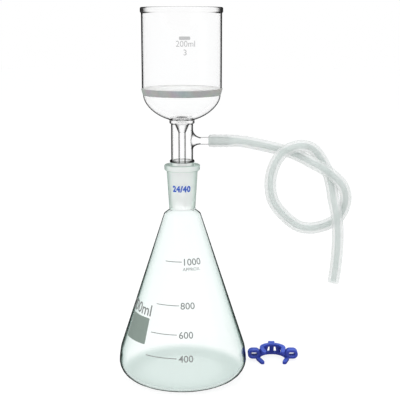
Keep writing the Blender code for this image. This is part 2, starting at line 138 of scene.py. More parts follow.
TUBE_ROUTE = (
    (0.0478, 0.0000, 0.2433), (0.0540, 0.0003, 0.2432), (0.0630, 0.0015, 0.2420),
    (0.0740, 0.0040, 0.2395), (0.0870, 0.0063, 0.2364), (0.1010, 0.0068, 0.2330),
    (0.1150, 0.0045, 0.2285), (0.1285, -0.0025, 0.2222), (0.1405, -0.0063, 0.2160),
    (0.1510, -0.0068, 0.2085), (0.1600, -0.0045, 0.1985), (0.1643, 0.0000, 0.1870),
    (0.1638, 0.0050, 0.1750), (0.1590, 0.0068, 0.1645), (0.1505, 0.0068, 0.1582),
    (0.1395, 0.0050, 0.1545), (0.1275, 0.0025, 0.1537), (0.1150, 0.0000, 0.1576),
    (0.1015, -0.0025, 0.1690), (0.0912, -0.0045, 0.1830), (0.0878, -0.0060, 0.2000),
    (0.0900, -0.0068, 0.2160), (0.0965, -0.0070, 0.2290), (0.1065, -0.0068, 0.2365),
    (0.1185, -0.0043, 0.2388), (0.1302, 0.0030, 0.2348), (0.1395, 0.0065, 0.2240),
    (0.1463, 0.0068, 0.2110), (0.1500, 0.0040, 0.1980), (0.1516, -0.0025, 0.1850),
    (0.1543, -0.0062, 0.1710), (0.1560, -0.0068, 0.1570), (0.1567, -0.0060, 0.1420),
    (0.1563, -0.0050, 0.1260), (0.1553, -0.0040, 0.1110), (0.1540, -0.0030, 0.0985),
)


# ---- camera, lights and floor ----------------------------------------------------------------
def build_camera():
    """Looks along +Y and a little down."""
    downward = 11.48
    data = bpy.data.cameras.new("camera")
    data.sensor_width = 36.0
    data.lens = 79.4
    camera = bpy.data.objects.new("camera", data)
    camera.location = (0.0178, -0.870, 0.360)
    camera.rotation_euler = (math.radians(90 - downward), 0, 0)
    bpy.context.scene.collection.objects.link(camera)
    bpy.context.scene.camera = camera


def build_world():
    """White behind and through clear glass, soft for lit surfaces, dim in reflections."""
    world = bpy.data.worlds.new("studio")
    bpy.context.scene.world = world
    world.use_nodes = True
    nodes = world.node_tree.nodes
    links = world.node_tree.links
    nodes.clear()
    out = nodes.new("ShaderNodeOutputWorld")
    path = nodes.new("ShaderNodeLightPath")
    clear = nodes.new("ShaderNodeMath")
    clear.operation = "MAXIMUM"
    links.new(path.outputs["Is Camera Ray"], clear.inputs[0])
    links.new(path.outputs["Is Transmission Ray"], clear.inputs[1])

    def background(color, strength):
        node = nodes.new("ShaderNodeBackground")
        node.inputs["Color"].default_value = (*color, 1)
        node.inputs["Strength"].default_value = strength
        return node.outputs[0]

    def mix(factor, without, with_it):
        node = nodes.new("ShaderNodeMixShader")
        links.new(factor, node.inputs["Fac"])
        links.new(without, node.inputs[1])
        links.new(with_it, node.inputs[2])
        return node.outputs[0]

    lit = background((0.97, 0.99, 1.0), 0.90)
    mirrored = background((0.9, 0.95, 1.0), 0.02)
    white = background((1.0, 1.0, 1.0), 1.0)
    around = mix(path.outputs["Is Glossy Ray"], lit, mirrored)
    links.new(mix(clear.outputs[0], around, white), out.inputs["Surface"])


def add_light(name, place, aim, size, power):
    data = bpy.data.lights.new(name, "AREA")
    data.shape = "RECTANGLE"
    data.size, data.size_y = size
    data.energy = power
    light = bpy.data.objects.new(name, data)
    light.location = place
    light.rotation_euler = (Vector(aim) - Vector(place)).to_track_quat("-Z", "Y").to_euler()
    light.visible_camera = False
    light.visible_transmission = False
    bpy.context.scene.collection.objects.link(light)


def build_lights():
    middle = (0.04, 0, 0.18)
    add_light("key", (-0.75, -0.75, 0.95), middle, (0.7, 0.7), 6.0)
    add_light("fill", (0.9, -0.5, 0.6), middle, (0.5, 0.9), 2.2)
    add_light("top", (0.03, 0.05, 1.25), middle, (1.0, 1.0), 4.0)


def build_floor():
    """Plain pale paper, lit from within so that it stays white behind clear glass."""
    shape = bmesh.new()
    bmesh.ops.create_grid(shape, x_segments=8, y_segments=8, size=6.0)
    mesh = bpy.data.meshes.new("floor")
    shape.to_mesh(mesh)
    shape.free()
    floor = bpy.data.objects.new("floor", mesh)
    floor.location = (0, 0, -0.0002)
    bpy.context.scene.collection.objects.link(floor)
    material, shader = new_material("floor_paper")
    shader.inputs["Base Color"].default_value = (0.20, 0.20, 0.20, 1)
    shader.inputs["Roughness"].default_value = 0.9
    shader.inputs["Emission Color"].default_value = (1, 1, 1, 1)
    shader.inputs["Emission Strength"].default_value = 0.84
    mesh.materials.append(material)
    floor.visible_glossy = False


def set_render_looks():
    scene = bpy.context.scene
    scene.view_settings.view_transform = "Standard"
    scene.cycles.max_bounces = 28
    scene.cycles.transmission_bounces = 28
    scene.cycles.transparent_max_bounces = 16


# ---- material helpers ------------------------------------------------------------------------
def new_material(name):
    material = bpy.data.materials.new(name)
    material.use_nodes = True
    return material, material.node_tree.nodes["Principled BSDF"]


def add_ramp(material, factor, stops):
    """A colour ramp of (place, colour) stops, driven by a factor; gives its colour socket."""
    ramp = material.node_tree.nodes.new("ShaderNodeValToRGB")
    elements = ramp.color_ramp.elements
    while len(elements) > 1:
        elements.remove(elements[-1])
    for index, (place, color) in enumerate(stops):
        element = elements[0] if index == 0 else elements.new(place)
        element.position = place
        element.color = (*color, 1)
    material.node_tree.links.new(factor, ramp.inputs["Fac"])
    return ramp.outputs["Color"]


def greys(*stops):
    """Ramp stops in plain grey, from (place, value) pairs."""
    return tuple((place, (value, value, value)) for place, value in stops)


def add_facing(material):
    """How far a surface turns away from the view: 0 face on, 1 edge on."""
    facing = material.node_tree.nodes.new("ShaderNodeLayerWeight")
    facing.inputs["Blend"].default_value = 0.5
    return facing.outputs["Facing"]


def add_place(material):
    """The object's own coordinates, in metres."""
    return material.node_tree.nodes.new("ShaderNodeTexCoord").outputs["Object"]


def add_range(material, value, low, high, interpolation="LINEAR"):
    """A value's place between two limits, from 0 to 1."""
    spread = material.node_tree.nodes.new("ShaderNodeMapRange")
    spread.interpolation_type = interpolation
    spread.inputs["From Min"].default_value = low
    spread.inputs["From Max"].default_value = high
    material.node_tree.links.new(value, spread.inputs["Value"])
    return spread.outputs["Result"]


def add_mix(material, factor, first, second, blend_type="MIX"):
    """Two colours blended by a number or by a socket."""
    links = material.node_tree.links
    mix = material.node_tree.nodes.new("ShaderNodeMix")
    mix.data_type = "RGBA"
    mix.blend_type = blend_type
    if isinstance(factor, float):
        mix.inputs["Factor"].default_value = factor
    else:
        links.new(factor, mix.inputs["Factor"])
    links.new(first, mix.inputs["A"])
    links.new(second, mix.inputs["B"])
    return mix.outputs["Result"]


def add_noise(material, scale, detail=4.0):
    """Noise in the object's own metres."""
    noise = material.node_tree.nodes.new("ShaderNodeTexNoise")
    noise.inputs["Scale"].default_value = scale
    noise.inputs["Detail"].default_value = detail
    material.node_tree.links.new(add_place(material), noise.inputs["Vector"])
    return noise


def add_bump(material, shader, height, strength, distance):
    bump = material.node_tree.nodes.new("ShaderNodeBump")
    bump.inputs["Strength"].default_value = strength
    bump.inputs["Distance"].default_value = distance
    material.node_tree.links.new(height, bump.inputs["Height"])
    material.node_tree.links.new(bump.outputs["Normal"], shader.inputs["Normal"])


# ---- materials: the clear glass's stops give its tint and painted shade from face on (0) to edge on (1) ---
FLASK_EDGE = (
    (0.00, (0.970, 0.988, 0.984)), (0.35, (0.950, 0.976, 0.970)), (0.55, (0.870, 0.922, 0.908)),
    (0.67, (0.640, 0.730, 0.700)), (0.73, (0.060, 0.100, 0.085)), (0.79, (0.002, 0.004, 0.003)),
)
FLASK_INSIDE = (
    (0.00, (0.975, 0.992, 0.988)), (0.45, (0.940, 0.972, 0.962)), (0.70, (0.780, 0.860, 0.835)),
    (1.00, (0.480, 0.600, 0.560)),
)
FLOOR_MIDDLE = (
    (0.00, (0.850, 0.925, 0.900)), (0.80, (0.760, 0.850, 0.820)), (1.00, (0.700, 0.790, 0.760)),
)
FLOOR_RIM = (
    (0.00, (0.740, 0.825, 0.798)), (0.80, (0.660, 0.750, 0.720)), (1.00, (0.860, 0.910, 0.890)),
)
FLOOR_MIDDLE_R = 0.030      # the flask's floor darkens from here out
FLOOR_RIM_R = 0.060         # to here
FLOOR_TINT_Z = 0.003        # below this height the flask has its floor's tint
WALL_TINT_Z = 0.009         # and above this one its wall's
DOME_EDGE = greys((0.00, 1.0), (0.72, 0.998), (0.78, 0.25), (0.82, 0.003), (0.90, 0.0))
BOWL_EDGE = greys((0.00, 1.0), (0.66, 0.998), (0.72, 0.25), (0.76, 0.003), (0.90, 0.0))
RIM_EDGE = greys((0.00, 1.0), (0.42, 0.980), (0.54, 0.20), (0.62, 0.003), (0.90, 0.0))
STEM_EDGE = greys((0.00, 1.0), (0.38, 0.990), (0.48, 0.25), (0.56, 0.005), (0.80, 0.0))
DRIP_EDGE = greys((0.00, 1.0), (0.17, 0.980), (0.29, 0.15), (0.38, 0.003), (0.80, 0.0))
ARM_EDGE = greys((0.00, 1.0), (0.40, 0.985), (0.52, 0.20), (0.60, 0.003), (0.80, 0.0))
# The bead's ramp is dark even face on: painted shade for the bead's dark band.
BEAD_EDGE = greys((0.00, 0.6), (0.15, 0.080), (0.30, 0.01), (0.60, 0.001))
INSIDE_EDGE = greys((0.00, 1.0), (0.88, 0.985), (1.00, 0.5))
SEAM_EDGE = greys((0.00, 1.0), (1.00, 0.970))


def clear_glass(name, edge, ior=1.2, waver=0.004, tint_of=None):
    """Clear glass that darkens where it is seen edge on.

    edge is the ramp of its tint; its darkest stops, near black edge on, are painted shade for the
    dark outline of clear glass, beyond any green of its own. tint_of, if given, makes the tint from
    the material, the facing socket and the ramp's colour, for glass that isn't tinted alike all over.
    """
    material, shader = new_material(name)
    links = material.node_tree.links
    facing = add_facing(material)
    tint = add_ramp(material, facing, edge)
    if tint_of:
        tint = tint_of(material, facing, tint)
    links.new(tint, shader.inputs["Base Color"])
    shader.inputs["Transmission Weight"].default_value = 1.0
    shader.inputs["IOR"].default_value = ior
    smear = add_noise(material, 22.0)
    rough = add_ramp(material, smear.outputs["Fac"], greys((0.45, 0.0), (0.85, 0.012)))
    links.new(rough, shader.inputs["Roughness"])
    if waver:
        draw_lines = add_noise(material, 60.0, 1.0)
        add_bump(material, shader, draw_lines.outputs["Fac"], waver, 0.0006)
    return material


def flask_tint(material, facing, wall):
    """The flask's tint: its wall's, but deeper green in the floor, and deepest near its rim."""
    nodes, links = material.node_tree.nodes, material.node_tree.links
    parts = nodes.new("ShaderNodeSeparateXYZ")
    links.new(add_place(material), parts.inputs[0])
    level = nodes.new("ShaderNodeCombineXYZ")
    for axis in ("X", "Y"):
        links.new(parts.outputs[axis], level.inputs[axis])
    reach = nodes.new("ShaderNodeVectorMath")
    reach.operation = "LENGTH"
    links.new(level.outputs[0], reach.inputs[0])
    outward = add_range(material, reach.outputs["Value"], FLOOR_MIDDLE_R, FLOOR_RIM_R, "SMOOTHSTEP")
    upward = add_range(material, parts.outputs["Z"], FLOOR_TINT_Z, WALL_TINT_Z, "SMOOTHSTEP")
    floor = add_mix(material, outward, add_ramp(material, facing, FLOOR_MIDDLE),
                    add_ramp(material, facing, FLOOR_RIM))
    return add_mix(material, upward, floor, wall)


def ground_glass(name):
    """Glass ground with fine grit: white from scattering, with a faint green towards its edges."""
    material, shader = new_material(name)
    links = material.node_tree.links
    white = add_ramp(material, add_facing(material), (
        (0.00, (1.000, 1.000, 1.000)), (0.25, (0.985, 1.000, 0.990)), (0.42, (0.78, 0.86, 0.82)),
        (0.60, (0.48, 0.58, 0.54)), (1.00, (0.27, 0.37, 0.32)),
    ))
    links.new(white, shader.inputs["Base Color"])
    # Painted light: a faint glow keeps the ground glass pale. Its dark green edge on is partly its
    # own colour and partly painted shade.
    shader.inputs["Emission Color"].default_value = (0.90, 0.97, 0.93, 1)
    shader.inputs["Emission Strength"].default_value = 0.040
    shader.inputs["Transmission Weight"].default_value = 0.80
    shader.inputs["IOR"].default_value = 1.30
    cloud = add_noise(material, 180.0)
    rough = add_ramp(material, cloud.outputs["Fac"], greys((0.3, 0.42), (0.7, 0.56)))
    links.new(rough, shader.inputs["Roughness"])
    grit = add_noise(material, 2600.0, 2.0)
    add_bump(material, shader, grit.outputs["Fac"], 0.25, 0.0002)
    return material


def sintered_glass(name, light, dark, mottle):
    """Grains of glass fused together: matt, granular and slightly uneven in colour."""
    material, shader = new_material(name)
    links = material.node_tree.links
    grains = material.node_tree.nodes.new("ShaderNodeTexVoronoi")
    grains.inputs["Scale"].default_value = 1500.0
    links.new(add_place(material), grains.inputs["Vector"])
    speckle = add_ramp(material, grains.outputs["Distance"], ((0.0, light), (0.55, dark)))
    cloud = add_noise(material, 90.0)
    shade = add_mix(material, mottle, speckle, cloud.outputs["Color"], "MULTIPLY")
    links.new(shade, shader.inputs["Base Color"])
    shader.inputs["Roughness"].default_value = 0.85
    shader.inputs["Subsurface Weight"].default_value = 0.2
    shader.inputs["Subsurface Radius"].default_value = (0.002, 0.002, 0.002)
    add_bump(material, shader, grains.outputs["Distance"], 0.6, 0.0003)
    return material


def milky_skin(name, color, cover, gloss):
    """One skin of soft translucent tubing; cover is the ramp of its alpha."""
    material, shader = new_material(name)
    links = material.node_tree.links
    links.new(add_ramp(material, add_facing(material), cover), shader.inputs["Alpha"])
    cloud = add_noise(material, 140.0)
    darker = tuple(value * 0.95 for value in color)
    tint = add_ramp(material, cloud.outputs["Fac"], ((0.3, color), (0.7, darker)))
    links.new(tint, shader.inputs["Base Color"])
    rough = add_ramp(material, cloud.outputs["Fac"], greys((0.3, 0.45), (0.7, 0.60)))
    links.new(rough, shader.inputs["Roughness"])
    shader.inputs["Specular IOR Level"].default_value = gloss
    return material


def blue_plastic():
    """Moulded blue plastic, satin: a fine sparked texture, with painted light and shade: paler where
    it faces up, darker on its sides and underside.
    """
    material, shader = new_material("blue_plastic")
    nodes, links = material.node_tree.nodes, material.node_tree.links
    cloud = add_noise(material, 120.0).outputs["Fac"]
    # Painted light and shade: a darker blue for sides and undersides and a paler one for faces that
    # look up, blended by the normal's height.
    shade = add_ramp(material, cloud, ((0.3, (0.014, 0.026, 0.27)), (0.7, (0.022, 0.038, 0.34))))
    painted_top_light = add_ramp(material, cloud, ((0.3, (0.070, 0.120, 0.55)), (0.7, (0.095, 0.150, 0.66))))
    surface = nodes.new("ShaderNodeNewGeometry")
    parts = nodes.new("ShaderNodeSeparateXYZ")
    links.new(surface.outputs["Normal"], parts.inputs[0])
    upward = add_range(material, parts.outputs["Z"], -0.1, 0.9)
    links.new(add_mix(material, upward, shade, painted_top_light), shader.inputs["Base Color"])
    rough = add_ramp(material, cloud, greys((0.3, 0.30), (0.7, 0.44)))
    links.new(rough, shader.inputs["Roughness"])
    grain = add_noise(material, 2200.0, 3.0)
    add_bump(material, shader, grain.outputs["Fac"], 0.2, 0.0002)
    return material


def printed_enamel(name, color):
    """Fired print: matt, with a broken density."""
    material, shader = new_material(name)
    wear = add_noise(material, 1200.0, 3.0)
    pale = tuple(0.88 * value + 0.12 for value in color)
    ink = add_ramp(material, wear.outputs["Fac"], ((0.40, color), (0.85, pale)))
    material.node_tree.links.new(ink, shader.inputs["Base Color"])
    shader.inputs["Roughness"].default_value = 0.6
    return material


# ---- shape helpers ---------------------------------------------------------------------------
def rounded_path(corners, steps=8):
    """Points along (radius, height, fillet) corners, with an arc at each corner with a fillet."""
    points = []
    for index, (radius, height, fillet) in enumerate(corners):
        here = Vector((radius, height))
        if fillet == 0 or index in (0, len(corners) - 1):
            points.append(here)
            continue
        back = (Vector(corners[index - 1][:2]) - here).normalized()
        ahead = (Vector(corners[index + 1][:2]) - here).normalized()
        half_angle = back.angle(ahead) / 2
        centre = here + (back + ahead).normalized() * fillet / math.sin(half_angle)
        first = here + back * fillet / math.tan(half_angle) - centre
        last = here + ahead * fillet / math.tan(half_angle) - centre
        turn = first.angle_signed(last)
        for step in range(steps + 1):
            points.append(centre + Matrix.Rotation(-turn * step / steps, 2) @ first)
    return points


def finish_mesh(name, shape, material, sharp=SHARP_ANGLE):
    """A smooth-shaded object from a bmesh, with edges over the sharp angle kept crisp."""
    bmesh.ops.recalc_face_normals(shape, faces=shape.faces)
    mesh = bpy.data.meshes.new(name)
    shape.to_mesh(mesh)
    shape.free()
    mesh.shade_smooth()
    mesh.set_sharp_from_angle(angle=math.radians(sharp))
    mesh.materials.append(material)
    obj = bpy.data.objects.new(name, mesh)
    bpy.context.scene.collection.objects.link(obj)
    return obj


def turned(name, outline, material, sides=96, closed=True, along_x=None):
    """A solid of revolution about Z, or about the X line at height along_x."""
    shape = bmesh.new()
    rings = []
    for radius, height in outline:
        if radius < 1e-7:
            rings.append([shape.verts.new((0, 0, height))])
            continue
        ring = []
        for side in range(sides):
            angle = 2 * math.pi * side / sides
            ring.append(shape.verts.new((radius * math.cos(angle), radius * math.sin(angle), height)))
        rings.append(ring)
    pairs = list(zip(rings, rings[1:]))
    if closed:
        pairs.append((rings[-1], rings[0]))
    for upper, lower in pairs:
        for side in range(sides):
            after = (side + 1) % sides
            corners = [upper[side % len(upper)], upper[after % len(upper)],
                       lower[after % len(lower)], lower[side % len(lower)]]
            corners = list(dict.fromkeys(corners))
            if len(corners) > 2:
                shape.faces.new(corners)
    if along_x is not None:
        lay = Matrix.Translation((0, 0, along_x)) @ Matrix.Rotation(math.pi / 2, 4, "Y")
        bmesh.ops.transform(shape, matrix=lay, verts=shape.verts)
    return finish_mesh(name, shape, material)


def join_rings(shape, near, far):
    """The band of faces between two rings of points."""
    band = []
    for side in range(len(near)):
        after = (side + 1) % len(near)
        band.append(shape.faces.new((near[side], near[after], far[after], far[side])))
    return band


def cut(target, tool):
    """Takes tool away from target, applied to its mesh."""
    modifier = target.modifiers.new("cut", "BOOLEAN")
    modifier.operation = "DIFFERENCE"
    modifier.object = tool
    apply_modifiers(target)
    bpy.data.objects.remove(tool, do_unlink=True)
    target.data.shade_smooth()
    target.data.set_sharp_from_angle(angle=math.radians(SHARP_ANGLE))


def finish_faces(obj, material, chosen):
    """Gives the faces that are chosen their own material."""
    index = len(obj.data.materials)
    obj.data.materials.append(material)
    for face in obj.data.polygons:
        if chosen(face):
            face.material_index = index


def looks_inward(face):
    """Whether a face is flat or looks at the Z axis."""
    return face.normal.xy.dot(face.center.xy) < 0.25 * face.center.xy.length


def apply_modifiers(obj):
    bpy.context.view_layer.update()
    evaluated = obj.evaluated_get(bpy.context.evaluated_depsgraph_get())
    mesh = bpy.data.meshes.new_from_object(evaluated)
    obj.modifiers.clear()
    obj.data = mesh


def place_piece(obj, body, slot, *nodes):
    """Rides on a body and stands for CAD nodes, which it hides; slot is not used."""
    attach(obj, body)
    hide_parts(*nodes)


# ---- the flask -------------------------------------------------------------------------------
def flask_radius(z):
    """Outer radius of the flask's straight cone at a height."""
    return SHOULDER_R + (SHOULDER_Z - z) * CONE_SLOPE


def build_flask():
    wall = FLASK_WALL
    bore = SOCKET_END_R + 0.0003
    inside = rounded_path((
        (0, wall + 0.0018, 0),
        (0.040, wall + 0.0006, 0.080),
        (HEEL_CORNER_R - wall, wall, HEEL_FILLET - wall),
        (HIP_R - wall, HIP_Z, HIP_FILLET - wall),
        (SHOULDER_R - wall, SHOULDER_Z - 0.0004, 0.003),
        (bore, NECK_Z - 0.0012, 0.001),
        (bore, NECK_Z, 0),
    ))
    outside = rounded_path((
        (NECK_R, NECK_Z, 0),
        (NECK_R, NECK_Z - 0.0010, 0.0008),
        (SHOULDER_R, SHOULDER_Z, 0.003),
        (HIP_R, HIP_Z, HIP_FILLET),
        (HEEL_CORNER_R, 0, HEEL_FILLET),
        (0.046, 0, 0.080),
        (0, 0.0016, 0),
    ))
    outer_glass = clear_glass("flask_glass", FLASK_EDGE, 1.18, tint_of=flask_tint)
    flask = turned("flask_glass", inside + outside, outer_glass, sides=160, closed=False)
    inner_glass = clear_glass("flask_inside", FLASK_INSIDE, 1.18, tint_of=flask_tint)
    finish_faces(flask, inner_glass, looks_inward)
    place_piece(flask, "flask", "clear_glass", "flask_body")


def build_socket():
    bore_end = SOCKET_TOP - JOINT_LENGTH
    collar_z = SOCKET_TOP - COLLAR_HEIGHT
    outline = rounded_path((
        (SOCKET_BORE_R + 0.0006, SOCKET_TOP, 0),
        (COLLAR_R, SOCKET_TOP, 0.0013),
        (COLLAR_R - 0.0003, collar_z, 0.0010),
        (SOCKET_SHOULDER_R, collar_z - 0.0004, 0.0006),
        (NECK_R, SOCKET_LOW - JOIN, 0),
        (SOCKET_END_R, SOCKET_LOW - JOIN, 0),
        (SOCKET_END_R, bore_end, 0),
        (SOCKET_BORE_R, SOCKET_TOP - 0.0006, 0),
    ))
    socket = turned("ground_socket", outline, ground_glass("ground_socket"), sides=96)
    place_piece(socket, "flask", "ground_glass", "flask_socket")


# ---- the funnel ------------------------------------------------------------------------------
def build_bowl():
    outline = rounded_path((
        (BOWL_BORE_R + 0.0006, RIM_Z, 0),
        (RIM_R, RIM_Z, 0.0014),
        (RIM_R, RIM_Z - RIM_HEIGHT, 0.0014),
        (BOWL_R, RIM_Z - RIM_HEIGHT - 0.0009, 0.0009),
        (BOWL_R, BOWL_LOW - JOIN, 0),
        (BOWL_BORE_R, BOWL_LOW - JOIN, 0),
        (BOWL_BORE_R, RIM_Z - 0.0015, 0.0012),
    ))
    glass = clear_glass("bowl_glass", BOWL_EDGE, waver=0.0)
    bowl = turned("bowl_glass", outline, glass, sides=128)
    finish_faces(bowl, clear_glass("bowl_inside", SEAM_EDGE, waver=0.0), looks_inward)
    rim_low = RIM_Z - RIM_HEIGHT - 0.0015
    finish_faces(bowl, clear_glass("rim_glass", RIM_EDGE), lambda face: (
        face.center.z > rim_low and face.center.xy.length > BOWL_BORE_R))
    place_piece(bowl, "funnel", "clear_glass", "funnel_bowl")


def build_disc():
    outline = rounded_path((
        (0, DISC_TOP, 0),
        (DISC_R - 0.0002, DISC_TOP, 0.0007),
        (DISC_R - 0.0021, DISC_LOW, 0.0007),
        (0, DISC_LOW, 0),
    ))
    # Painted light and shade: one frit, given a grey colour on the disc's side and a near-white one
    # on its flat faces, for how light falls on them.
    side = sintered_glass("sintered_painted_shade_side", (0.47, 0.48, 0.465), (0.37, 0.38, 0.37), 0.35)
    top = sintered_glass("sintered_painted_light_flat", (1.0, 1.0, 0.99), (0.96, 0.965, 0.95), 0.08)
    disc = turned("sintered_disc", outline, side, sides=128, closed=False)
    finish_faces(disc, top, lambda face: abs(face.normal.z) > 0.9)
    place_piece(disc, "funnel", "sintered_glass", "fritted_disc")


def dome_curve(radius, depth, lowest):
    """Points down one side of the dome, from its mouth to a lowest height."""
    count = 30
    points = []
    for step in range(count):
        angle = DOME_TURN * step / (count - 1)
        reach = math.cos(angle) ** (2 / DOME_POWER)
        drop = math.sin(angle) ** (2 / DOME_POWER)
        points.append(Vector((radius * reach, DOME_TOP + JOIN - depth * drop)))
    return [point for point in points if point.y > lowest]


def build_dome():
    outside = dome_curve(DOME_R, DOME_DEPTH, DOME_LOW + 0.0004)
    inside = dome_curve(DOME_R - DOME_WALL, DOME_DEPTH - DOME_WALL, DOME_LOW + 0.0022)
    foot = rounded_path((
        (RING_R, DOME_LOW, 0),
        (EXIT_R, DOME_LOW, 0),
        (EXIT_R, DOME_LOW + DOME_WALL, 0),
    ))
    glass = clear_glass("dome_glass", DOME_EDGE)
    dome = turned("dome_glass", outside + foot + inside[::-1], glass, sides=128)
    finish_faces(dome, clear_glass("dome_inside", INSIDE_EDGE), looks_inward)
    finish_faces(dome, clear_glass("dome_seam", SEAM_EDGE), lambda face: (
        face.center.z < DOME_LOW + 0.0024 and face.center.xy.length < RING_R))
    place_piece(dome, "funnel", "clear_glass", "funnel_dome")


def root_reach(y, z):
    """Distance from the arm's line over the root's oval edge: 1 on the edge, less inside it."""
    rise = z - ARM_Z
    return math.hypot(y / ROOT_WIDE, rise / (ROOT_UP if rise > 0 else ROOT_DOWN))


def root_hole(material):
    """A tool along +X with the oval section of the arm's root."""
    start, end = 0.0005, JACKET_R * 2
    outline = [Vector(point) for point in ((0, end), (1, end), (1, start), (0, start))]
    hole = turned("hole", outline, material, sides=64, closed=False, along_x=0)
    for vert in hole.data.vertices:
        vert.co.y *= ROOT_WIDE + 0.00005
        vert.co.z = ARM_Z + vert.co.z * (ROOT_UP if vert.co.z > 0 else ROOT_DOWN)
    return hole


def build_jacket():
    ring_z = DRIP_TOP + 0.0003
    outline = rounded_path((
        (EXIT_R, RING_TOP, 0),
        (RING_R, RING_TOP, 0.0004),
        (RING_R, ring_z - 0.0008, 0.0010),
        (JACKET_R, ring_z - 0.0014, 0.0006),
        (JACKET_R, JACKET_LOW - JOIN, 0),
        (JACKET_BORE_R, JACKET_LOW - JOIN, 0),
        (JACKET_BORE_R, ring_z, 0.0008),
        (EXIT_R, ring_z, 0),
    ))
    glass = clear_glass("jacket_glass", STEM_EDGE)
    jacket = turned("jacket_glass", outline, glass, sides=96)
    finish_faces(jacket, clear_glass("jacket_inside", INSIDE_EDGE), looks_inward)
    cut(jacket, root_hole(glass))
    finish_faces(jacket, clear_glass("jacket_seam", SEAM_EDGE), lambda face: (
        face.center.x > 0 and root_reach(face.center.y, face.center.z) < 1.03))
    place_piece(jacket, "funnel", "clear_glass", "vacuum_jacket")


def build_drip_tube():
    wall = DRIP_R - DRIP_BORE_R
    throat = DRIP_TOP - 0.0099
    outline = rounded_path((
        (DRIP_MOUTH_R, DRIP_TOP, 0),
        (DRIP_MOUTH_R, DRIP_TOP - 0.0006, 0.0004),
        (DRIP_R, throat, 0.0020),
        (DRIP_R, DRIP_TIP, 0),
        (DRIP_BORE_R, DRIP_TIP, 0),
        (DRIP_BORE_R, throat, 0.0025),
        (DRIP_MOUTH_R - wall, DRIP_TOP - 0.0008, 0.0004),
        (DRIP_MOUTH_R - wall, DRIP_TOP, 0),
    ))
    glass = clear_glass("drip_glass", DRIP_EDGE)
    drip = turned("drip_glass", outline, glass, sides=64)
    finish_faces(drip, clear_glass("drip_inside", INSIDE_EDGE), looks_inward)
    shape = bmesh.new()
    bmesh.ops.create_cube(shape, size=0.020)
    bmesh.ops.translate(shape, verts=shape.verts, vec=(0, 0, -0.010))
    slant = finish_mesh("slant", shape, glass)
    slant.rotation_euler = (0, DRIP_SLANT, 0)
    slant.location = (0, 0, DRIP_TIP + DRIP_R)
    cut(drip, slant)
    place_piece(drip, "funnel", "clear_glass", "drip_tube")


def build_cone():
    bead_low = BEAD_TOP - BEAD_HEIGHT

    def ground_radius(z):
        return SOCKET_BORE_R - 0.0003 + (z - SOCKET_TOP) * JOINT_SLOPE

    outline = rounded_path((
        (JACKET_BORE_R, BEAD_TOP, 0),
        (BEAD_R, BEAD_TOP, 0.00085),
        (BEAD_R, bead_low, 0.00085),
        (ground_radius(bead_low - 0.0002), bead_low - 0.0002, 0),
        (ground_radius(CONE_TIP), CONE_TIP, 0.0005),
        (CONE_BORE_R, CONE_TIP, 0),
    ))
    cone = turned("ground_cone", outline, ground_glass("ground_cone"), sides=96)
    finish_faces(cone, clear_glass("bead_glass", BEAD_EDGE), lambda face: (
        face.center.z > bead_low - 0.0001))
    finish_faces(cone, clear_glass("cone_inside", SEAM_EDGE), lambda face: (
        face.normal.xy.dot(face.center.xy) < 0 or face.center.xy.length < JACKET_BORE_R))
    cone.name = "ground_cone_glass"
    place_piece(cone, "funnel", "ground_glass", "ground_cone")


def saddle_rings(jacket_r, neck_r, steps=12, sides=64):
    """Rings that spread from the arm's neck over a cylinder of radius jacket_r, root first."""
    rings = []
    for step in range(steps + 1):
        t = step / steps
        weights = ((1 - t) ** 3, 3 * t * (1 - t) ** 2, 3 * t * t * (1 - t), t ** 3)
        ring = []
        for side in range(sides):
            angle = 2 * math.pi * side / sides
            wide = ROOT_WIDE * math.sin(angle)
            tall = math.cos(angle) * (ROOT_UP if math.cos(angle) > 0 else ROOT_DOWN)
            root = Vector((math.sqrt(jacket_r ** 2 - wide ** 2), wide, tall))
            along = Vector((wide ** 2 / root.x, -wide, -tall)) * 0.35
            neck = Vector((ARM_NECK_X, neck_r * math.sin(angle), neck_r * math.cos(angle)))
            stops = (root, root + along, neck - Vector((0.0035, 0, 0)), neck)
            ring.append(sum((stop * weight for stop, weight in zip(stops, weights)), Vector()))
        rings.append(ring)
    return rings


def build_side_arm():
    """A hose connection whose root spreads over the round jacket in a saddle."""
    sides = 64
    glass, inside, seam, root = range(4)
    barbs = [(ARM_R, SLEEVE_START, 0.0006)]
    for ridge in (2, 1, 0):
        peak = FIRST_RIDGE_X - ridge * RIDGE_PITCH
        barbs += [(RIDGE_VALLEY_R, peak - 0.0036, 0.0009), (RIDGE_R, peak, 0.0009)]
    outline = rounded_path([(ARM_R, ARM_NECK_X + 0.001, 0), *barbs, (0.0029, ARM_TIP_X, 0.0004),
                            (ARM_BORE_R, ARM_TIP_X, 0)])
    outer = saddle_rings(JACKET_R, ARM_R, sides=sides)
    inner = saddle_rings(JACKET_BORE_R, ARM_BORE_R, sides=sides)
    middle = []
    for radius, x in outline:
        middle.append([Vector((x, radius * math.sin(2 * math.pi * side / sides),
                               radius * math.cos(2 * math.pi * side / sides)))
                       for side in range(sides)])
    shape = bmesh.new()
    rings = [[shape.verts.new(point + Vector((0, 0, ARM_Z))) for point in ring]
             for ring in outer + middle + inner[::-1]]
    bore_start = len(outer) + len(middle) - 1
    for index, ring in enumerate(rings):
        finish = glass if index < bore_start else inside
        if index < len(outer) - 1:
            finish = root
        if index == len(rings) - 1:
            finish = seam
        for face in join_rings(shape, ring, rings[(index + 1) % len(rings)]):
            face.material_index = finish
    arm = finish_mesh("side_arm_glass", shape, clear_glass("side_arm_glass", ARM_EDGE))
    arm.data.materials.append(clear_glass("side_arm_inside", INSIDE_EDGE))
    arm.data.materials.append(clear_glass("side_arm_seam", SEAM_EDGE))
    arm.data.materials.append(clear_glass("side_arm_root", DRIP_EDGE))
    place_piece(arm, "funnel", "clear_glass", "side_arm")


